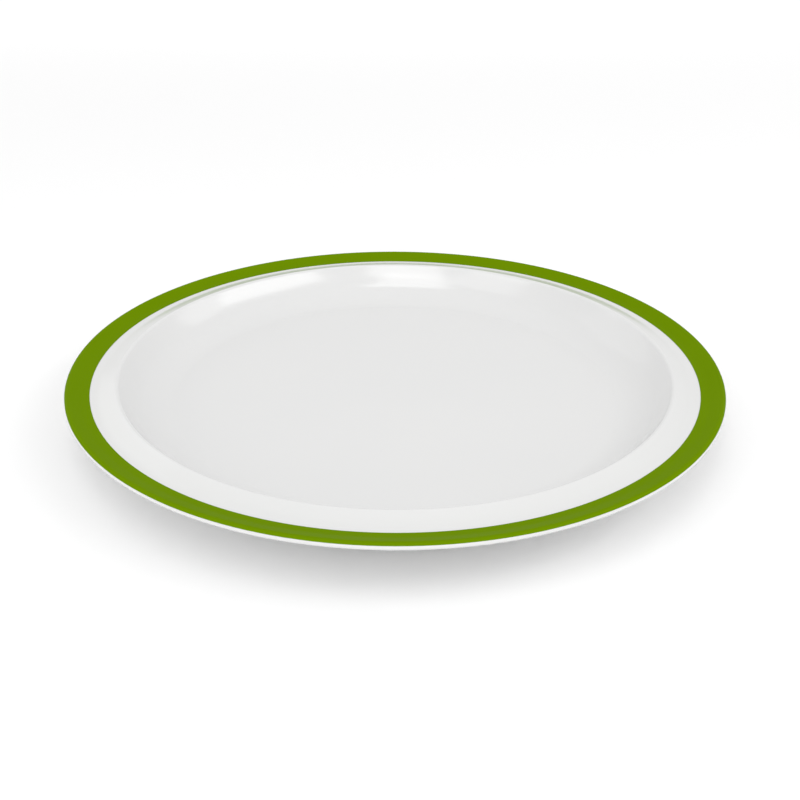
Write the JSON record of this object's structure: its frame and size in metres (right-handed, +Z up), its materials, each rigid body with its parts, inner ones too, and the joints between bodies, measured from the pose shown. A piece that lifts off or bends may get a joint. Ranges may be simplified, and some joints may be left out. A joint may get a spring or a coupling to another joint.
{
  "type": "dinner plate",
  "caption": "Round rimmed china dinner plate: flat-bottomed well, dished rim, green enamel edge band and a raised foot ring to stand on.",
  "frame": {"origin": "on the plate's axis, at the height of the surface that the foot ring stands on", "axes": "+Z up along the plate's axis, out of the well; +X and +Y lie in the plate's plane, and the plate is round, so neither is special"},
  "size_m": [0.27, 0.27, 0.0241],
  "materials": {
    "bisque_porcelain": "fired, unglazed, matt",
    "clear_glaze": "clear gloss glaze over white porcelain",
    "green_enamel": "gloss overglaze enamel"
  },
  "bodies": {
    "root": {"porcelain_body": "bisque_porcelain", "face_glaze": "clear_glaze", "foot_recess_glaze": "clear_glaze", "rim_band": "green_enamel"}
  },
  "joints": []
}
